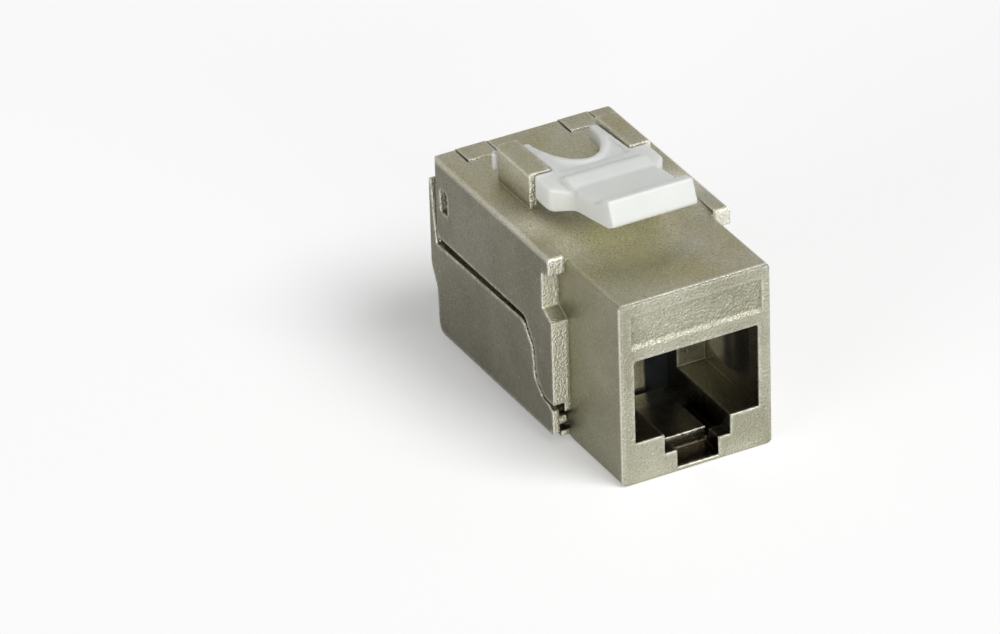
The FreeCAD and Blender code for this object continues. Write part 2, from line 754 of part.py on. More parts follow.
def latch_profile():
    """Side view of the latch: foot, ridge, valley, thumb lip and the sloping underside."""
    top = HOOD_TOP
    ridge = LATCH_REAR - BAR_LENGTH + 0.4
    valley = ridge - 2.0
    step = LATCH_FRONT + 3.3
    return [
        (LATCH_REAR, BODY_TOP + LEG_CLEARANCE),
        (LATCH_REAR, top),
        (ridge + RIDGE_LENGTH, top + 0.1, 0.6),
        (ridge, top + RIDGE_RISE, 0.4),
        (ridge - RIDGE_LENGTH, top + RIDGE_RISE, 0.4),
        (valley, top, 0.8),
        (step, top + 0.6, 0.6),
        (step - 1.3, top + LIP_RISE - 0.25, 0.4),
        (step - 2.4, top + LIP_RISE, 0.2),
        (LATCH_FRONT, top - 0.1, 0.3),
        (LATCH_FRONT + 1.0, top - RIDGE_RISE, 0.4),
        (valley - 0.9, top - ARM_THICKNESS - 0.1, 1.5),
        (ridge - 0.7, LATCH_FOOT, 0.9),
        (LATCH_REAR - 1.1, LATCH_FOOT, 0.5),
    ]


def latch_plan():
    """Plan view of the arm and its cross bar, whose ends curve into the arm."""
    shoulder = LATCH_REAR - BAR_LENGTH
    return [
        (-BAR_HALF, LATCH_REAR, 0.1),
        (BAR_HALF, LATCH_REAR, 0.1),
        (BAR_HALF, shoulder, BAR_ROUND),
        (ARM_HALF, shoulder - ARM_TAPER, BAR_ROUND),
        (ARM_HALF, LATCH_FRONT - PAST),
        (-ARM_HALF, LATCH_FRONT - PAST),
        (-ARM_HALF, shoulder - ARM_TAPER, BAR_ROUND),
        (-BAR_HALF, shoulder, BAR_ROUND),
    ]


def cutout(grow):
    """Curved cut-out between the prongs, grown outward by the given width."""
    half = CUTOUT_HALF + grow
    length = PRONG_END - CUTOUT_FRONT + 2
    middle = V(0, CUTOUT_FRONT - grow + length, LATCH_FOOT)
    curve = Part.Ellipse(middle, length, half)
    oval = Part.Face(Part.Wire(curve.toShape())).extrude(V(0, 0, HOOD_TOP))
    oval.rotate(middle, V(0, 0, 1), 90)
    return oval


def latch_web():
    """Web with the two prongs, which slope down a little to the rear."""
    start = LATCH_REAR - 0.3
    under = HOOD_TOP - WEB_THICKNESS
    web = side_prism([
        (start, under),
        (start, HOOD_TOP),
        (LATCH_REAR, HOOD_TOP),
        (PRONG_END, HOOD_TOP - PRONG_DROP, 0.3),
        (PRONG_END, under, 0.3),
    ], -WEB_HALF, WEB_HALF)
    pocket_half = WEB_HALF - 0.4
    pocket = box(-pocket_half, pocket_half, LATCH_REAR - RIM_WIDTH, LATCH_REAR + POCKET_LENGTH,
                 HOOD_TOP - POCKET_DEPTH, HOOD_TOP + PAST)
    return web, pocket.cut(cutout(RIM_WIDTH))


def latch():
    width = BAR_HALF + PAST
    front = side_prism(latch_profile(), -width, width)
    front = front.common(plan_prism(latch_plan(), LATCH_FOOT - PAST, HOOD_TOP + 2 * LIP_RISE))
    web, pocket = latch_web()
    barb_rear = HOOD_REAR + LATCH_GAP + BARB_LENGTH
    leg_top = HOOD_TOP - HOOD_ROOF - LATCH_GAP
    leg = box(LEG_INNER, HOOD_OUTER - HOOD_WALL - LATCH_GAP, LATCH_REAR - 0.3, barb_rear,
              BODY_TOP + LEG_CLEARANCE, leg_top)
    low = BODY_TOP + LEG_CLEARANCE - BARB_DEPTH
    high = leg_top + 2 * BARB_DEPTH - 0.15
    barb = side_prism([
        (HOOD_REAR + LATCH_GAP, low, 0.2),
        (HOOD_REAR + LATCH_GAP, high, 0.2),
        (barb_rear, high - 0.3, 0.3),
        (barb_rear, low, 0.2),
    ], LEG_INNER, HOOD_OUTER + BARB_REACH)
    body = join([front, web] + both_sides(leg) + both_sides(barb))
    return cut_all(body, [cutout(0), pocket])


def wire_x(index):
    return (index - (WIRE_COUNT - 1) / 2) * WIRE_PITCH


def contact_wire(index):
    """Contact spring: forward under the ceiling, round a bend and back down."""
    path = [(BOARD_REAR, WIRE_Z), (WIRE_FRONT, WIRE_Z), (WIRE_TIP, WIRE_Z - WIRE_FALL)]
    x = wire_x(index)
    return side_prism(strip(path, WIRE_BEND, WIRE_THICKNESS), x - WIRE_WIDTH / 2, x + WIRE_WIDTH / 2)


def wire_slot(index, y0, y1):
    x = wire_x(index)
    half = WIRE_WIDTH / 2 + FIT
    high = WIRE_THICKNESS / 2 + FIT
    return box(x - half, x + half, y0, y1, WIRE_Z - high, WIRE_Z + high)


def contact_carrier():
    """Dark moulding behind the socket with the comb that guides the contact springs."""
    block = box(-SKIRT_INNER, SKIRT_INNER, NOSE_REAR, BOARD_FRONT, CARRIER_BOTTOM, SOCKET_TOP)
    sill = box(-SKIRT_INNER, SKIRT_INNER, NOSE_REAR, NOSE_REAR + SILL_DEPTH,
               SILL_BOTTOM, CARRIER_BOTTOM)
    roof = box(-COMB_HALF, COMB_HALF, COMB_ROOF_FRONT, NOSE_REAR,
               WIRE_Z + WIRE_THICKNESS / 2 + FIT, SOCKET_TOP)
    teeth = []
    for i in range(WIRE_COUNT + 1):
        x = wire_x(i - 0.5)
        teeth.append(box(x - COMB_TOOTH / 2, x + COMB_TOOTH / 2, NOSE_REAR - COMB_DEPTH, NOSE_REAR,
                         COMB_BOTTOM, SOCKET_TOP))
    slots = [wire_slot(i, NOSE_REAR - PAST, BOARD_FRONT + PAST) for i in range(WIRE_COUNT)]
    return cut_all(join([block, sill, roof] + teeth), slots)


def terminal_places():
    """Middle of each terminal, row by row, as (x, z)."""
    places = []
    for z in TERMINAL_ROWS:
        for column in range(TERMINAL_COLUMNS):
            places.append(((column - (TERMINAL_COLUMNS - 1) / 2) * TERMINAL_PITCH, z))
    return places


def terminal_room(x, z, half, y0, y1, clearance):
    high = TERMINAL_THICKNESS / 2 + clearance
    return box(x - half, x + half, y0, y1, z - high, z + high)


def circuit_board():
    board = box(-BOARD_HALF, BOARD_HALF, BOARD_FRONT, BOARD_REAR, BOARD_BOTTOM, BOARD_TOP)
    front = BOARD_FRONT - PAST
    rear = BOARD_REAR + PAST
    holes = [wire_slot(i, front, rear) for i in range(WIRE_COUNT)]
    for x, z in terminal_places():
        holes.append(terminal_room(x, z, TERMINAL_TAIL_HALF + FIT, front, rear, FIT))
    return board.cut(holes)


def idc_terminal(x, z):
    """Forked blade with a narrow tail in the board; the wire is pushed into its slot."""
    slot_end = TERMINAL_TIP - TERMINAL_SLOT_LENGTH
    mouth_end = TERMINAL_TIP - TERMINAL_MOUTH_DEPTH
    half_outline = [
        (TERMINAL_TAIL_HALF, BOARD_FRONT),
        (TERMINAL_TAIL_HALF, BOARD_REAR),
        (TERMINAL_HALF, BOARD_REAR),
        (TERMINAL_HALF, TERMINAL_TIP, 0.3),
        (TERMINAL_MOUTH_HALF, TERMINAL_TIP),
        (TERMINAL_SLOT_HALF, mouth_end),
        (TERMINAL_SLOT_HALF, slot_end),
    ]
    right = [(x + p[0],) + p[1:] for p in half_outline]
    left = [(x - p[0],) + p[1:] for p in reversed(half_outline)]
    low = z - TERMINAL_THICKNESS / 2
    return plan_prism(right + left, low, low + TERMINAL_THICKNESS)


def idc_block():
    """Block behind the board that holds the eight forked terminals."""
    block = box(-BOARD_HALF, BOARD_HALF, BOARD_REAR, BLOCK_REAR,
                BOARD_BOTTOM + BLOCK_MARGIN, BOARD_TOP - BLOCK_MARGIN)
    rooms = []
    for x, z in terminal_places():
        rooms.append(terminal_room(x, z, TERMINAL_HALF + FIT, BOARD_REAR - PAST,
                                   BLOCK_REAR + PAST, FIT))
    return block.cut(rooms)


def wire_cap():
    """Cap that presses the eight wires onto the terminals; the cable enters its middle."""
    half = SKIRT_INNER - CAP_MARGIN
    cap = plan_prism([
        (-half, BLOCK_REAR),
        (half, BLOCK_REAR),
        (half, CAP_REAR, CAP_ROUND),
        (-half, CAP_REAR, CAP_ROUND),
    ], BOARD_BOTTOM, BOARD_TOP)
    rear = CAP_REAR + PAST
    cuts = [rod_y(BLOCK_REAR + CAP_BORE_START, rear, 0, CABLE_Z, CABLE_RADIUS)]
    for x, z in terminal_places():
        cuts.append(terminal_room(x, z, TERMINAL_HALF + CAP_CLEARANCE, BLOCK_REAR - PAST,
                                  TERMINAL_TIP + CAP_CLEARANCE, CAP_CLEARANCE))
        low = BOARD_BOTTOM - PAST
        high = BOARD_BOTTOM + WIRE_GROOVE_DEPTH
        if z > CABLE_Z:
            low = BOARD_TOP - WIRE_GROOVE_DEPTH
            high = BOARD_TOP + PAST
        cuts.append(box(x - WIRE_GROOVE_HALF, x + WIRE_GROOVE_HALF,
                        TERMINAL_TIP - TERMINAL_MOUTH_DEPTH, rear, low, high))
    return cut_all(cap, cuts)


def ground_spring():
    """Bowed strip on the right side wall that touches the shield of the plug."""
    wall = SOCKET_WIDTH / 2
    rear = SPRING_FRONT + SPRING_LENGTH
    middle = SPRING_FRONT + SPRING_LENGTH / 2
    inner = Part.Arc(V(wall, SPRING_FRONT, SPRING_BOTTOM),
                     V(wall - SPRING_BOW, middle, SPRING_BOTTOM),
                     V(wall, rear, SPRING_BOTTOM)).toShape()
    outer = Part.Arc(V(wall, SPRING_FRONT + SPRING_FLAT, SPRING_BOTTOM),
                     V(wall - SPRING_BOW + SPRING_THICKNESS, middle, SPRING_BOTTOM),
                     V(wall, rear - SPRING_FLAT, SPRING_BOTTOM)).toShape()
    edges = [inner, outer]
    for start in (SPRING_FRONT, rear - SPRING_FLAT):
        edges.append(Part.makeLine(V(wall, start, SPRING_BOTTOM),
                                   V(wall, start + SPRING_FLAT, SPRING_BOTTOM)))
    return Part.Face(Part.Wire(Part.__sortEdges__(edges))).extrude(V(0, 0, SPRING_HEIGHT))


def write(name, shape):
    """Save a piece with the origin moved to the middle of the depth on the nose's underside."""
    shape.translate(V(0, -TONGUE_REAR / 2, -NOSE_BOTTOM))
    shape.exportStep("parts/" + name + ".step")
    print(name, shape.isValid(), len(shape.Solids), round(shape.Volume, 2))


write("housing", housing())
write("rear_cover", rear_cover())
write("latch", latch())
write("contact_carrier", contact_carrier())
write("circuit_board", circuit_board())
write("idc_block", idc_block())
write("wire_cap", wire_cap())
for i in range(WIRE_COUNT):
    write("contact_wire_%d" % (i + 1), contact_wire(i))
for i, (x, z) in enumerate(terminal_places()):
    write("idc_terminal_%d" % (i + 1), idc_terminal(x, z))
for side, spring in zip(("right", "left"), both_sides(ground_spring())):
    write("ground_spring_" + side, spring)
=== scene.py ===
import math

import bpy
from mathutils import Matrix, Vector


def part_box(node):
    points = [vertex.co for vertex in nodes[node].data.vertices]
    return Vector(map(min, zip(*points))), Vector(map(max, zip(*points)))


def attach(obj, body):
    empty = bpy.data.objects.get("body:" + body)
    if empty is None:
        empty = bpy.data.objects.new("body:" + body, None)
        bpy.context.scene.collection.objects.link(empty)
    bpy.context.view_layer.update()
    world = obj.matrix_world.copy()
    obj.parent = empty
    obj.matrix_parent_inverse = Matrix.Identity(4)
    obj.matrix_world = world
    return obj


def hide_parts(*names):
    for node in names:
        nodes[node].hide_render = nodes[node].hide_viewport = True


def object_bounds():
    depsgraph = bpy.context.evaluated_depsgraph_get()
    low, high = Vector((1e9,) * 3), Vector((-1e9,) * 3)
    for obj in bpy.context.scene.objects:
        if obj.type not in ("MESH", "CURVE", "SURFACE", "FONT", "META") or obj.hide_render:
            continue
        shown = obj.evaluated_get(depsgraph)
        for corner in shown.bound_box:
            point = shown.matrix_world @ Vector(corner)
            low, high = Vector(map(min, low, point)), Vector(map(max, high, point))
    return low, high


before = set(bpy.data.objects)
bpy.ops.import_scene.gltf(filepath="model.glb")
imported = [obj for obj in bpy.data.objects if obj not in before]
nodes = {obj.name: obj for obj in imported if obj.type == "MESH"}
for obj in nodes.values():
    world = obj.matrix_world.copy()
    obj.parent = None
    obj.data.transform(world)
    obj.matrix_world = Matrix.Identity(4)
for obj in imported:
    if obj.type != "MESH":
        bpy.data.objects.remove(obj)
cad_low, cad_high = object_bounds()


# camera
# A long lens from the front left, above the jack. It was fitted to the corners of the real part,
# so it leans over by a degree and a half as the photographer's did.
bpy.ops.object.camera_add(location=(-0.273264, -0.508366, 0.345760),
                          rotation=(math.radians(59.49), math.radians(1.598), math.radians(-28.40)))
camera = bpy.context.object
camera.data.sensor_width = 36
camera.data.lens = 288
camera.data.clip_start = 0.01
camera.data.clip_end = 20
bpy.context.scene.camera = camera


# housing
# The front shell with its nose, hoods and inner skirts is one zinc die casting, tumbled and
# plated with satin nickel. The plating keeps the fine grain of the mould, and the tumbling stones
# have rounded the edges. Its colour carries painted light and shade: lit tops and fronts, shaded
# sides, painted shade in the inner corners and the room for the plug, and painted highlights on
# the edges and the top.
housing_low, housing_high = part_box("housing")

# Places and sizes in millimetres, in the shared frame
FRONT_FACE = housing_low.y * 1000
BODY_HALF = housing_high.x * 1000
BODY_TOP = 17.5
NOSE_HALF = 7.05
SOCKET_HALF = 5.85
SOCKET_TOP = 11.7
TAB_FLOOR = 0.35
STEP_FLOOR = 2.05
MOUTH_END = -10.0
UNDER_THUMB = (-1.5, -6.3, 17.3)
BESIDE_HOOD_FOOT = (7.2, -1.9, 17.5)
# How far the painted shade reaches into inner corners
CORNER_SHADE_REACH = 0.7
EDGE_ROUND = 0.26
# How thick an edge is that gets the painted highlight
EDGE_HIGHLIGHT_REACH = 0.5

# Colours of the plating, the lighter cloud first. The sides are painted shade, and the tops,
# fronts and hoods' sides are painted light: lit and shaded copies of one plating.
SHADED_NOSE_SIDE = ((0.275, 0.263, 0.185), (0.23, 0.217, 0.142))
SHADED_BODY_SIDE = ((0.17, 0.16, 0.112), (0.14, 0.13, 0.085))
LIT_TOP = ((0.47, 0.45, 0.34), (0.42, 0.385, 0.24))
LIT_FRONT = ((0.48, 0.475, 0.375), (0.37, 0.362, 0.27))
LIT_HOOD_SIDE = (0.62, 0.60, 0.48)
# Painted light on the fronts of the lugs and hoods beside the nose
LIT_SHOULDER_FRONT = (0.86, 0.84, 0.72)
# Painted highlight on the ramp under the latch's thumb plate, where a reflection falls
RAMP_HIGHLIGHT = (0.90, 0.86, 0.66)
# Painted shade in the room for the plug
SOCKET_SHADE = (0.36, 0.34, 0.27)
# Painted shade, near black, in the tab's pocket at the socket's mouth
TAB_POCKET_SHADE = (0.06, 0.05, 0.034)
# Painted highlight along the nose's front edges
NOSE_RIM_HIGHLIGHT = (0.90, 0.87, 0.76)
# Painted shade on the sunk panel's slope, where the front lamp's highlight falls
PANEL_SLOPE_SHADE = (0.24, 0.23, 0.18)
# Painted highlight along the body's long top edges
LONG_EDGE_HIGHLIGHT = (0.86, 0.83, 0.70)
# Painted sheen on the top beside the hoods' feet
SADDLE_SHEEN = (0.84, 0.81, 0.68)
# Painted glints in the grain of the plating
GLINT_SPECK = (0.90, 0.87, 0.74)
DARK_PIT = (0.18, 0.165, 0.12)
# Painted shade in the inner corners
CORNER_SHADE = (0.20, 0.175, 0.115)
# Painted highlight on the rounded outer edges
EDGE_HIGHLIGHT = (0.90, 0.88, 0.80)


def node(tree, kind, **values):
    """Adds a shader node and sets its attributes."""
    made = tree.nodes.new(kind)
    for name, value in values.items():
        setattr(made, name, value)
    return made


def grain(tree, coordinates, per_mm, detail, rough):
    """Noise with so many lumps in a millimetre."""
    noise = node(tree, "ShaderNodeTexNoise")
    noise.inputs["Scale"].default_value = per_mm
    noise.inputs["Detail"].default_value = detail
    noise.inputs["Roughness"].default_value = rough
    tree.links.new(coordinates, noise.inputs["Vector"])
    return noise.outputs["Fac"]


def stretch(tree, value, source, target=(0, 1)):
    """Maps a range of a value onto another range, with both ends held."""
    made = node(tree, "ShaderNodeMapRange", clamp=True)
    for end, number in zip(("From Min", "From Max", "To Min", "To Max"), source + target):
        made.inputs[end].default_value = number
    tree.links.new(value, made.inputs["Value"])
    return made.outputs["Result"]


def blend_colours(tree, amount, first, second):
    """Mixes two colours, each given as numbers or as another node's output."""
    made = node(tree, "ShaderNodeMix", data_type="RGBA")
    tree.links.new(amount, made.inputs["Factor"])
    for socket, colour in ((made.inputs["A"], first), (made.inputs["B"], second)):
        if isinstance(colour, tuple):
            socket.default_value = (*colour, 1)
        else:
            tree.links.new(colour, socket)
    return made.outputs["Result"]


def calculate(tree, operation, *values):
    """Arithmetic on values that are numbers or another node's output."""
    made = node(tree, "ShaderNodeMath", operation=operation)
    for socket, value in zip(made.inputs, values):
        if isinstance(value, (int, float)):
            socket.default_value = value
        else:
            tree.links.new(value, socket)
    return made.outputs[0]


def overlap(tree, first, *others):
    """Where several masks are all present."""
    for other in others:
        first = calculate(tree, "MULTIPLY", first, other)
    return first


def outside(tree, mask):
    """Where a mask is absent."""
    return calculate(tree, "SUBTRACT", 1.0, mask)


def distance_from(tree, coordinates, point):
    """Distance of each place from a point."""
    made = node(tree, "ShaderNodeVectorMath", operation="DISTANCE")
    tree.links.new(coordinates, made.inputs[0])
    made.inputs[1].default_value = point
    return made.outputs["Value"]


def facing(tree, axis, low=0, high=1):
    """How far a face looks along an axis of its own piece: 0 below low, 1 above high."""
    place = node(tree, "ShaderNodeTexCoord")
    split = node(tree, "ShaderNodeSeparateXYZ")
    tree.links.new(place.outputs["Normal"], split.inputs[0])
    return stretch(tree, split.outputs[axis], (low, high))


def fresh_material(name):
    """An empty material with a shader, its output and coordinates in millimetres."""
    material = bpy.data.materials.new(name)
    material.use_nodes = True
    tree = material.node_tree
    tree.nodes.clear()
    shader = node(tree, "ShaderNodeBsdfPrincipled")
    output = node(tree, "ShaderNodeOutputMaterial")
    tree.links.new(shader.outputs["BSDF"], output.inputs["Surface"])
    place = node(tree, "ShaderNodeTexCoord")
    to_millimetres = node(tree, "ShaderNodeMapping")
    to_millimetres.inputs["Scale"].default_value = (1000, 1000, 1000)
    tree.links.new(place.outputs["Object"], to_millimetres.inputs["Vector"])
    return material, tree, shader, to_millimetres.outputs["Vector"]


def bump(tree, shader, height, depth_mm, under=None):
    """Raises the surface by a height pattern, with its depth in millimetres."""
    made = node(tree, "ShaderNodeBump")
    made.inputs["Strength"].default_value = 1.0
    made.inputs["Distance"].default_value = depth_mm / 1000
    tree.links.new(height, made.inputs["Height"])
    if under is not None:
        tree.links.new(under, made.inputs["Normal"])
    tree.links.new(made.outputs["Normal"], shader.inputs["Normal"])
    return made.outputs["Normal"]


def jack_regions(tree, mm):
    """Masks of the casting's regions, each under the name of the place that it covers."""
    place = node(tree, "ShaderNodeSeparateXYZ")
    tree.links.new(mm, place.inputs[0])
    across = calculate(tree, "ABSOLUTE", place.outputs[0], 0)
    back = place.outputs[1]
    height = place.outputs[2]
    mirrored = node(tree, "ShaderNodeCombineXYZ")
    for socket, value in enumerate((across, back, height)):
        tree.links.new(value, mirrored.inputs[socket])

    where = {}
    # The socket's mask also places its painted shade
    where["socket"] = overlap(
        tree,
        stretch(tree, across, (SOCKET_HALF + 0.05, SOCKET_HALF + 0.10), (1, 0)),
        stretch(tree, back, (FRONT_FACE + 0.15, FRONT_FACE + 0.30)),
        stretch(tree, height, (TAB_FLOOR - 0.25, TAB_FLOOR - 0.15)),
        stretch(tree, height, (SOCKET_TOP + 0.10, SOCKET_TOP + 0.20), (1, 0)))
    mouth = overlap(tree, where["socket"], stretch(tree, back, (MOUTH_END, MOUTH_END + 0.5), (1, 0)))
    # Where the tab pocket's painted shade lies
    where["tab pocket"] = overlap(
        tree, mouth, stretch(tree, height, (STEP_FLOOR - 0.05, STEP_FLOOR + 0.05), (1, 0)))
    looks_forward = outside(tree, facing(tree, 1, -0.9, -0.5))
    where["front"] = overlap(tree, looks_forward, outside(tree, mouth))
    where["top"] = facing(tree, 2, 0.5, 0.9)
    where["body"] = stretch(tree, across, (NOSE_HALF + 0.10, NOSE_HALF + 0.30))
    where["hoods"] = stretch(tree, height, (BODY_TOP, BODY_TOP + 0.8), (0, 0.9))
    where["shoulder"] = calculate(tree, "MAXIMUM", where["body"], where["hoods"])
    where["open front"] = overlap(tree, where["front"], outside(tree, where["socket"]))
    where["nose front"] = overlap(tree, where["open front"], outside(tree, where["shoulder"]))
    # Where the painted highlight on the ramp lies
    where["under thumb"] = stretch(tree, distance_from(tree, mm, UNDER_THUMB), (1.5, 6.0), (1, 0))
    # Where the painted highlight along the nose's front edges lies
    where["nose rim"] = overlap(
        tree,
        stretch(tree, back, (FRONT_FACE + 0.15, FRONT_FACE + 0.45), (0.75, 0)),
        outside(tree, calculate(tree, "MAXIMUM", where["front"], where["socket"])))
    # Where the painted shade on the panel's slope lies
    where["panel slope"] = overlap(
        tree,
        stretch(tree, facing(tree, 2), (0.3, 0.5), (0, 0.5)),
        stretch(tree, facing(tree, 2), (0.8, 0.9), (1, 0)),
        stretch(tree, back, (FRONT_FACE + 0.8, FRONT_FACE + 0.9), (1, 0)))
    # Where the painted highlight along the long top edges lies
    where["long edge"] = overlap(
        tree,
        stretch(tree, across, (BODY_HALF - 0.45, BODY_HALF - 0.10), (0, 0.6)),
        stretch(tree, height, (BODY_TOP - 0.45, BODY_TOP - 0.10)),
        stretch(tree, height, (BODY_TOP + 0.05, BODY_TOP + 0.10), (1, 0)))
    # Where the painted sheen beside the hoods' feet lies
    from_foot = distance_from(tree, mirrored.outputs[0], BESIDE_HOOD_FOOT)
    where["saddle"] = overlap(tree, where["top"], stretch(tree, from_foot, (0.6, 3.2), (0.75, 0)))
    return where


def plating_colour(tree, mm, where):
    """Olive clouds, with painted light and shade: lit tops and fronts, shaded sides, painted shade in
    the socket, and painted highlights on the rim, edges, saddle and ramp.
    """
    clouds = stretch(tree, grain(tree, mm, per_mm=0.17, detail=4, rough=0.5), (0.4, 0.6))
    # Lit and shaded copies of one plating: shaded sides, lighter hoods' sides, and lit tops and fronts
    side = blend_colours(tree, where["body"], blend_colours(tree, clouds, *SHADED_NOSE_SIDE),
                         blend_colours(tree, clouds, *SHADED_BODY_SIDE))
    side = blend_colours(tree, where["hoods"], side, LIT_HOOD_SIDE)
    lit_top = blend_colours(tree, clouds, *LIT_TOP)
    # Painted highlight on the ramp under the thumb
    lit_top = blend_colours(tree, where["under thumb"], lit_top, RAMP_HIGHLIGHT)
    lit_front = blend_colours(tree, clouds, *LIT_FRONT)
    # Painted light on the shoulders' fronts
    lit_front = blend_colours(tree, where["shoulder"], lit_front, LIT_SHOULDER_FRONT)
    colour = blend_colours(tree, where["top"], side, lit_top)
    # Painted shade in the socket and tab pocket, painted light on the fronts, and painted highlights
    # and shade on the rim, the slope, the long edges and the saddle
    for place, tone in (("socket", SOCKET_SHADE), ("tab pocket", TAB_POCKET_SHADE), ("front", lit_front),
                        ("nose rim", NOSE_RIM_HIGHLIGHT), ("panel slope", PANEL_SLOPE_SHADE),
                        ("long edge", LONG_EDGE_HIGHLIGHT), ("saddle", SADDLE_SHEEN)):
        colour = blend_colours(tree, where[place], colour, tone)
    return colour


def cast_specks(tree, mm, colour):
    """Fine mottling of the plating, with painted glints as bright specks and dark pits."""
    mottled = node(tree, "ShaderNodeVectorMath", operation="SCALE")
    tree.links.new(colour, mottled.inputs[0])
    mottling = grain(tree, mm, per_mm=5.5, detail=3, rough=0.7)
    tree.links.new(stretch(tree, mottling, (0.33, 0.67), (0.80, 1.20)), mottled.inputs["Scale"])
    # Bright specks are painted glints; the dark pits are the grain's own
    specks = stretch(tree, grain(tree, mm, per_mm=6.5, detail=2, rough=0.6), (0.67, 0.72), (0, 0.7))
    colour = blend_colours(tree, specks, mottled.outputs[0], GLINT_SPECK)
    pits = stretch(tree, grain(tree, mm, per_mm=4.5, detail=2, rough=0.6), (0.29, 0.37), (0.6, 0))
    return blend_colours(tree, pits, colour, DARK_PIT)


def shaded_corners_and_lit_edges(tree, mm, colour):
    """Painted shade in the inner corners and painted highlights on the rounded outer edges."""
    corners = node(tree, "ShaderNodeAmbientOcclusion", samples=4)
    corners.inputs["Distance"].default_value = CORNER_SHADE_REACH / 1000
    open_to_air = corners.outputs["AO"]
    # Painted shade where the inner corners close in
    colour = blend_colours(tree, stretch(tree, open_to_air, (0.40, 0.75), (0.45, 0)), colour, CORNER_SHADE)
    thin = node(tree, "ShaderNodeAmbientOcclusion", samples=6, inside=True)
    thin.inputs["Distance"].default_value = EDGE_HIGHLIGHT_REACH / 1000
    uneven = grain(tree, mm, per_mm=2.2, detail=3, rough=0.6)
    # Painted highlight on the outer edges, broken by an uneven grain
    edge = overlap(
        tree,
        stretch(tree, thin.outputs["AO"], (0.50, 0.85), (0.6, 0)),
        stretch(tree, open_to_air, (0.80, 0.97)),
        stretch(tree, uneven, (0.38, 0.6), (0.25, 1)))
    return blend_colours(tree, edge, colour, EDGE_HIGHLIGHT)


def plating_gloss(tree, mm, where):
    """Satin plating, duller on the fronts and glossier in the socket."""
    satin = stretch(tree, grain(tree, mm, per_mm=1.3, detail=3, rough=0.5), (0.3, 0.7), (0.28, 0.37))
    duller = calculate(tree, "MULTIPLY_ADD", where["front"], 0.10, satin)
    return calculate(tree, "MULTIPLY_ADD", where["socket"], -0.12, duller)


def cast_relief(tree, shader, mm, where):
    """Rounded edges under the grain of the mould, coarsest on the nose's front."""
    rounded = node(tree, "ShaderNodeBevel", samples=6)
    rounded.inputs["Radius"].default_value = EDGE_ROUND / 1000
    depth = calculate(tree, "MULTIPLY_ADD", where["socket"], -0.6, 1.0)
    depth = calculate(tree, "MULTIPLY_ADD", where["open front"], 1.1, depth)
    depth = calculate(tree, "MULTIPLY_ADD", where["nose front"], 0.9, depth)
    cast = overlap(tree, grain(tree, mm, per_mm=4.8, detail=2, rough=0.6), depth)
    coarse = bump(tree, shader, cast, 0.07, rounded.outputs["Normal"])
    bump(tree, shader, grain(tree, mm, per_mm=9.0, detail=2, rough=0.6), 0.02, coarse)


def satin_nickel(name):
    """The plated casting's whole finish, with painted light and shade in its colour."""
    material, tree, shader, mm = fresh_material(name)
    where = jack_regions(tree, mm)
    colour = shaded_corners_and_lit_edges(tree, mm, cast_specks(tree, mm, plating_colour(tree, mm, where)))
    tree.links.new(colour, shader.inputs["Base Color"])
    shader.inputs["Metallic"].default_value = 1
    tree.links.new(plating_gloss(tree, mm, where), shader.inputs["Roughness"])
    cast_relief(tree, shader, mm, where)
    return material


nickel = satin_nickel("satin_nickel")
nodes["housing"].data.materials[0] = nickel


# rear cover
# The floor, sides and rear wall are a second zinc casting with the same plating. It turns on two
# trunnions at its front corners, and two ears at the rear snap into the housing's windows.
nodes["rear_cover"].data.materials[0] = nickel


# latch
# The snap latch is moulded in white polyamide. Its legs slide into the hoods from the front and
# its barbs snap behind them. A thumb on the lip presses it down to free the jack from its panel.
LATCH_WHITE = (0.83, 0.85, 0.82)

# Blocks that lower the ridge's ends, in millimetres: half of their distance apart, where they
# stand from front to rear and in height, and their size
END_BLOCK_X = 5.50
END_BLOCK_Y = -2.3
END_BLOCK_Z = 21.25
END_BLOCK_SIZE = (3.2, 4.5, 1.4)


def white_plastic(name, colour, roughness):
    """Satin moulded plastic with a little light inside it."""
    material, tree, shader, mm = fresh_material(name)
    clouds = stretch(tree, grain(tree, mm, per_mm=0.4, detail=3, rough=0.5), (0.3, 0.7))
    shade = tuple(part * 0.965 for part in colour)
    tree.links.new(blend_colours(tree, clouds, colour, shade), shader.inputs["Base Color"])
    satin = grain(tree, mm, per_mm=2.0, detail=3, rough=0.5)
    tree.links.new(stretch(tree, satin, (0.3, 0.7), (roughness - 0.05, roughness + 0.05)),
                   shader.inputs["Roughness"])
    shader.inputs["Subsurface Weight"].default_value = 0.7
    shader.inputs["Subsurface Radius"].default_value = (1.0, 1.0, 0.9)
    shader.inputs["Subsurface Scale"].default_value = 0.0014
    bump(tree, shader, grain(tree, mm, per_mm=5.0, detail=2, rough=0.5), 0.002)
    return material


def push_points(piece, move, test):
    """Moves the points whose place passes a test, with all lengths in millimetres."""
    bpy.ops.object.mode_set(mode="OBJECT")
    for flags in (piece.data.vertices, piece.data.edges, piece.data.polygons):
        flags.foreach_set("select", [False] * len(flags))
    for point in piece.data.vertices:
        point.select = test(*(part * 1000 for part in point.co))
    bpy.ops.object.mode_set(mode="EDIT")
    bpy.ops.mesh.select_mode(type="VERT")
    bpy.ops.transform.translate(value=[part / 1000 for part in move])


def cut_away(piece, cutter, name):
    """Cuts the room that a block takes out of a piece, and removes the block."""
    cut = piece.modifiers.new(name, "BOOLEAN")
    cut.operation = "DIFFERENCE"
    cut.object = cutter
    bpy.context.view_layer.objects.active = piece
    bpy.ops.object.modifier_apply(modifier=name)
    bpy.data.objects.remove(cutter)


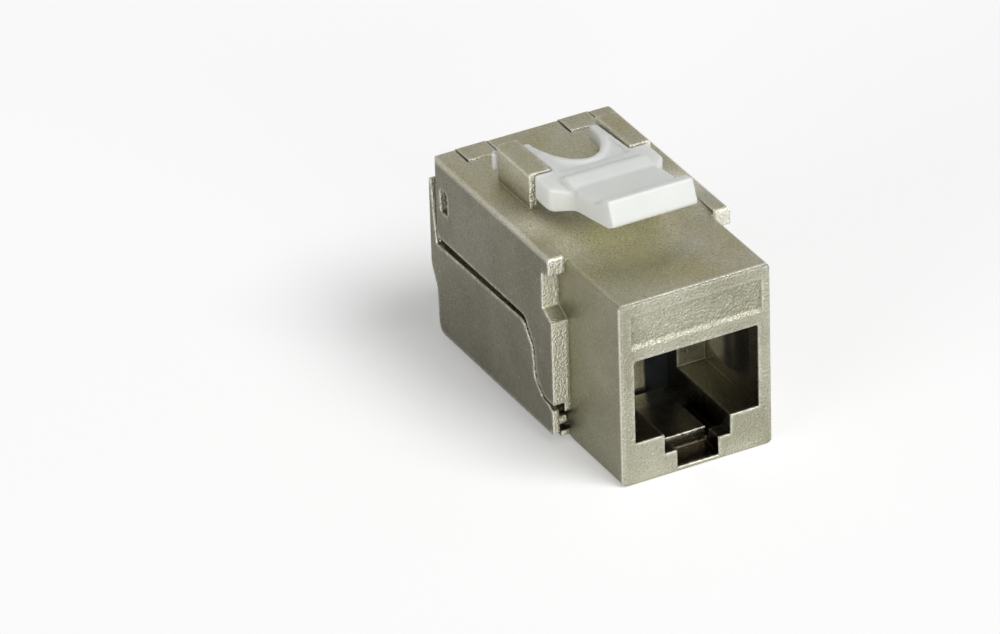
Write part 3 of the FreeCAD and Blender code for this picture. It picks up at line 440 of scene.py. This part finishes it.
bpy.ops.object.select_all(action="DESELECT")
nodes["latch"].select_set(True)
bpy.context.view_layer.objects.active = nodes["latch"]
bpy.ops.object.duplicate()
latch = bpy.context.object
latch.name = "snap_latch"
bpy.ops.object.mode_set(mode="EDIT")
bpy.ops.mesh.select_all(action="SELECT")
bpy.ops.mesh.remove_doubles(threshold=0.000002)
# The ridge is a slim line, and the thumb plate runs up to it without a dip
push_points(latch, (0, -0.35, 0), lambda x, y, z: -2.35 < y < -1.65 and z > 21.2)
push_points(latch, (0, -0.55, 0), lambda x, y, z: -1.2 < y < -0.7 and z > 20.6)
push_points(latch, (0, 0, -0.12), lambda x, y, z: -3.1 < y < -1.6 and z > 21.2)
push_points(latch, (0, 0, 0.20), lambda x, y, z: -4.5 < y < -3.4 and 20.6 < z < 21)
# The web between the prongs gets its full depth, and the prongs reach farther back
push_points(latch, (0, 0, -0.7), lambda x, y, z: abs(x) < 3.7 and y > 0.2 and 19.6 < z < 19.8)
push_points(latch, (0, 0.8, -0.1), lambda x, y, z: abs(x) < 3.7 and 4.6 < y < 5.4 and z > 18.8)
# The barbs end below the roofs of the hoods, and the legs taper toward them
push_points(latch, (0, 0, -0.5), lambda x, y, z: abs(x) > 3.2 and y > 6.3 and z > 20.0)
for side in (-1, 1):
    push_points(latch, (side * 0.65, 0, 0), lambda x, y, z: 3.2 < side * x < 3.4 and y > 6.3)
bpy.ops.object.mode_set(mode="OBJECT")

for side in (-1, 1):
    place = (side * END_BLOCK_X / 1000, END_BLOCK_Y / 1000, END_BLOCK_Z / 1000)
    bpy.ops.mesh.primitive_cube_add(size=1, location=place)
    end_block = bpy.context.object
    bpy.ops.object.mode_set(mode="EDIT")
    bpy.ops.transform.resize(value=[length / 1000 for length in END_BLOCK_SIZE])
    bpy.ops.object.mode_set(mode="OBJECT")
    cut_away(latch, end_block, "lower end")
moulded = latch.modifiers.new("moulded skin", "REMESH")
moulded.mode = "VOXEL"
moulded.voxel_size = 0.000085
bpy.ops.object.modifier_apply(modifier="moulded skin")
soft = latch.modifiers.new("soft edges", "SMOOTH")
soft.factor = 0.6
soft.iterations = 22
bpy.ops.object.modifier_apply(modifier="soft edges")
bpy.ops.object.select_all(action="DESELECT")
latch.select_set(True)
bpy.ops.object.shade_smooth()
latch.data.materials.clear()
latch.data.materials.append(white_plastic("latch_white", LATCH_WHITE, roughness=0.42))
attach(latch, "latch")
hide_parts("latch")


# contact carrier
# The comb that keeps the eight contact springs apart is moulded in black glass-filled plastic.
# It is pushed into the casting from behind and stands at the rear of the room for the plug.
CARRIER_BLACK = (0.018, 0.022, 0.026)


def dark_plastic(name, colour, roughness):
    """Glass-filled moulding with a faint flow pattern."""
    material, tree, shader, mm = fresh_material(name)
    flow = stretch(tree, grain(tree, mm, per_mm=0.8, detail=4, rough=0.6), (0.35, 0.65))
    lighter = tuple(part * 1.35 for part in colour)
    tree.links.new(blend_colours(tree, flow, colour, lighter), shader.inputs["Base Color"])
    dull = grain(tree, mm, per_mm=4.0, detail=3, rough=0.5)
    tree.links.new(stretch(tree, dull, (0.3, 0.7), (roughness - 0.06, roughness + 0.06)),
                   shader.inputs["Roughness"])
    bump(tree, shader, grain(tree, mm, per_mm=6.0, detail=2, rough=0.5), 0.004)
    return material


carrier_black = dark_plastic("carrier_black", CARRIER_BLACK, roughness=0.4)
nodes["contact_carrier"].data.materials[0] = carrier_black


# contact springs
# Eight strips are stamped from phosphor bronze and gilded where the plug touches them. Their
# tails are soldered in the circuit board, and the comb of the carrier guides their ends.
GOLD = (0.83, 0.62, 0.27)
TARNISHED_GOLD = (0.72, 0.50, 0.20)


def plated_metal(name, colour, tarnished, roughness):
    """Thin bright plating with slight tarnish."""
    material, tree, shader, mm = fresh_material(name)
    tarnish = stretch(tree, grain(tree, mm, per_mm=0.9, detail=3, rough=0.5), (0.35, 0.7))
    tree.links.new(blend_colours(tree, tarnish, colour, tarnished), shader.inputs["Base Color"])
    shader.inputs["Metallic"].default_value = 1
    gloss = grain(tree, mm, per_mm=3.0, detail=3, rough=0.5)
    tree.links.new(stretch(tree, gloss, (0.3, 0.7), (roughness - 0.01, roughness + 0.02)),
                   shader.inputs["Roughness"])
    bump(tree, shader, grain(tree, mm, per_mm=3.0, detail=2, rough=0.5), 0.0003)
    return material


contact_gold = plated_metal("contact_gold", GOLD, TARNISHED_GOLD, roughness=0.22)
for number in range(1, 9):
    nodes["contact_wire_%d" % number].data.materials[0] = contact_gold


# circuit board
# A green board of glass fibre with plated holes stands upright behind the carrier. Its tracks
# join the tails of the contact springs to those of the terminals, which are soldered in it.
BOARD_GREEN = (0.02, 0.09, 0.045)
nodes["circuit_board"].data.materials[0] = dark_plastic("board_green", BOARD_GREEN, roughness=0.35)


# terminal block and terminals
# A black moulded block behind the board holds eight forks, stamped from bronze and tinned. Each
# fork cuts into one wire of the cable, and its tail is soldered in the board.
TIN = (0.62, 0.62, 0.60)
DULL_TIN = (0.52, 0.51, 0.48)
nodes["idc_block"].data.materials[0] = carrier_black
terminal_tin = plated_metal("terminal_tin", TIN, DULL_TIN, roughness=0.3)
for number in range(1, 9):
    nodes["idc_terminal_%d" % number].data.materials[0] = terminal_tin


# wire cap
# The cap with its eight grooves is moulded in white plastic. It presses the wires onto the forks
# as the cover closes, and it is pulled off by hand to load the wires.
CAP_WHITE = (0.80, 0.80, 0.76)
nodes["wire_cap"].data.materials[0] = white_plastic("cap_white", CAP_WHITE, roughness=0.42)


# ground springs
# Two strips of spring steel are bent to a bow and held at the socket's side walls. They touch the
# shield of the plug when it is pushed in.
SPRING_STEEL = (0.60, 0.59, 0.54)
DULL_STEEL = (0.57, 0.56, 0.51)
spring_bright = plated_metal("spring_bright", SPRING_STEEL, DULL_STEEL, roughness=0.22)
for side in ("right", "left"):
    nodes["ground_spring_" + side].data.materials[0] = spring_bright


# floor, lamps and world
# A pale table in a white tent. A soft lamp high in front of the jack throws the shadow to the
# rear, and two low ones light the front faces and the left side of the latch.
FLOOR_SIZE = 8
FLOOR_GAP = 0.00002
FLOOR_WHITE = (0.90, 0.90, 0.90, 1)
FLOOR_LIFT = 0.30
TENT_LIGHT = 0.125
TENT_WHITE = 0.66


def seen_or_mirrored(tree):
    """1 for rays from the camera and those that metal or glass sends on, 0 for the light itself."""
    path = node(tree, "ShaderNodeLightPath")
    either = calculate(tree, "MAXIMUM", path.outputs["Is Camera Ray"], path.outputs["Is Glossy Ray"])
    return calculate(tree, "MAXIMUM", either, path.outputs["Is Transmission Ray"])


bpy.ops.mesh.primitive_plane_add(size=FLOOR_SIZE, location=(0, 0, cad_low.z - FLOOR_GAP))
floor = bpy.context.object
floor.name = "floor"
paper, tree, shader = fresh_material("paper")[:3]
shader.inputs["Base Color"].default_value = FLOOR_WHITE
shader.inputs["Roughness"].default_value = 0.9
shader.inputs["Specular IOR Level"].default_value = 0
shader.inputs["Emission Color"].default_value = (1, 1, 1, 1)
lift = calculate(tree, "MULTIPLY", seen_or_mirrored(tree), FLOOR_LIFT)
tree.links.new(lift, shader.inputs["Emission Strength"])
floor.data.materials.append(paper)


def soft_lamp(name, direction, distance, width, height, radiance):
    """A lamp that looks at the jack, set by how bright its face is."""
    length = math.sqrt(sum(part * part for part in direction))
    unit = [part / length for part in direction]
    bpy.ops.object.light_add(type="AREA", location=[part * distance for part in unit])
    lamp = bpy.context.object
    lamp.name = name
    lamp.data.shape = "RECTANGLE"
    lamp.data.size = width
    lamp.data.size_y = height
    lamp.data.energy = radiance * math.pi * width * height
    lamp.rotation_euler = (math.acos(unit[2]), 0, math.atan2(unit[0], -unit[1]))


soft_lamp("key_lamp", (0.30, -0.52, 0.80), distance=5.00, width=2.78, height=2.78, radiance=7.4)
soft_lamp("low_front_lamp", (-0.12, -0.95, 0.22), distance=3.60, width=2.40, height=0.96, radiance=2.6)
soft_lamp("left_lamp", (-0.92, -0.35, 0.17), distance=3.60, width=2.40, height=0.96, radiance=6.0)

world = bpy.data.worlds.new("tent")
bpy.context.scene.world = world
world.use_nodes = True
tree = world.node_tree
tree.nodes.clear()
mix = node(tree, "ShaderNodeMixShader")
tree.links.new(seen_or_mirrored(tree), mix.inputs["Fac"])
for socket, strength in ((mix.inputs[1], TENT_LIGHT), (mix.inputs[2], TENT_WHITE)):
    white = node(tree, "ShaderNodeBackground")
    white.inputs["Color"].default_value = (1, 1, 1, 1)
    white.inputs["Strength"].default_value = strength
    tree.links.new(white.outputs["Background"], socket)
output = node(tree, "ShaderNodeOutputWorld")
tree.links.new(mix.outputs["Shader"], output.inputs["Surface"])

bpy.context.scene.view_settings.view_transform = "Standard"
